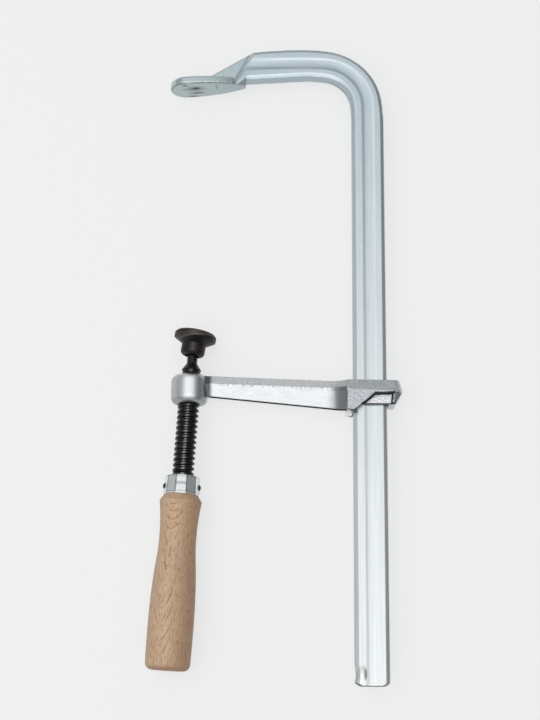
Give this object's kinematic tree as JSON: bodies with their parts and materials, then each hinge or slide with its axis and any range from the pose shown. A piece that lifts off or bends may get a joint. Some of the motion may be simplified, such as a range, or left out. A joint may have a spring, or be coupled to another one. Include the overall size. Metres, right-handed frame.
{
  "type": "screw clamp",
  "caption": "Deep hook-shaped bar with a fixed jaw and a sliding arm, whose screw is turned by a wooden handle and presses a swivelling plate against the work to hold it.",
  "frame": {"origin": "middle of the fixed jaw's clamping face, on the clamp's mid-plane", "axes": "+Y along the bar towards the fixed jaw's back, +X from the jaws to the bar, +Z out of the clamp's flat side as it lies"},
  "size_m": [0.1862, 0.4937, 0.033],
  "materials": {
    "rail_steel": "drawn bar steel, zinc plated and blue passivated, satin",
    "arm_steel": "drop-forged steel, tumbled and zinc plated, bright satin",
    "screw_steel": "black oxide, oiled, semi-gloss",
    "spring_wire": "hard-drawn spring wire, plain",
    "plate_steel": "brown-black oxide, oiled",
    "ferrule_steel": "zinc plated, blue passivated, bright",
    "pin_steel": "dark oxide, riveted heads",
    "handle_wood": "turned beech, fine sanded, no lacquer"
  },
  "bodies": {
    "rail": {"rail": "rail_steel"},
    "sliding_arm": {"sliding_arm": "arm_steel"},
    "ring": {"plate_snap_ring": "spring_wire"},
    "screw": {"spindle": "screw_steel", "ferrule": "ferrule_steel", "cross_pin": "pin_steel", "handle": "handle_wood"},
    "plate": {"pressure_plate": "plate_steel"}
  },
  "joints": [
    {"name": "arm_slide", "type": "slide", "parent": "rail", "child": "sliding_arm", "axis": [0, 1, 0], "range_m": [-0.182, 0.147]},
    {"name": "spindle_feed", "type": "slide", "parent": "sliding_arm", "child": "ring", "axis": [-0.0558, -0.9984, 0], "range_m": [-0.0481, 0.0111]},
    {"name": "spindle_turn", "type": "hinge", "parent": "ring", "child": "screw", "pos_m": [-0.0006, -0.213, 0], "axis": [-0.0558, -0.9984, 0], "range_deg": [-4320, 990]},
    {"name": "plate_swivel", "type": "hinge", "parent": "ring", "child": "plate", "pos_m": [-0.0006, -0.213, 0], "axis": [0, 0, 1], "range_deg": [-7, 18]}
  ],
  "couplings": [
    {"joint": "spindle_feed", "follows": "spindle_turn", "m_per_rad": 0.00063662}
  ]
}
